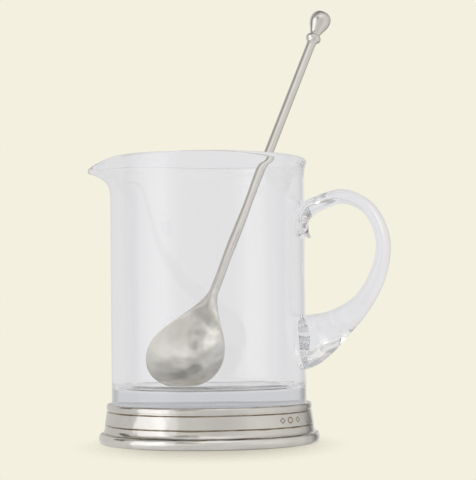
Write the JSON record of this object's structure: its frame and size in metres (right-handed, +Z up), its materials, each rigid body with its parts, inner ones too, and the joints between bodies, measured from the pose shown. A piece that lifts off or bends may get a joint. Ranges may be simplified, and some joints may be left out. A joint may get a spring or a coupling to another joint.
{
  "type": "cocktail pitcher",
  "caption": "Cylindrical glass jug with a pulled spout and an applied handle, set in a moulded pewter base, with a long pewter mixing spoon leaning inside it.",
  "frame": {"origin": "on the table, in the middle of the foot ring, on the axis of the jug", "axes": "+Z up along the axis of the jug, +X towards the handle, -X towards the spout"},
  "size_m": [0.1743, 0.1489, 0.2571],
  "materials": {
    "glass": "clear, fire polished",
    "pewter": "satin pewter",
    "pewter_polished": "polished pewter",
    "cement": "matte"
  },
  "bodies": {
    "pitcher": {"glass_vessel": "glass", "glass_handle": "glass", "base_band": "pewter", "foot_ring": "pewter_polished", "base_plate": "pewter", "bond_ring": "cement"},
    "spoon": {"spoon_bowl": "pewter_polished", "spoon_shaft": "pewter", "spoon_collar": "pewter_polished", "spoon_finial": "pewter_polished"}
  },
  "joints": [
    {"name": "spoon_lift", "type": "slide", "parent": "pitcher", "child": "spoon", "axis": [0, 0, 1], "range_m": [0, 0.16]}
  ]
}
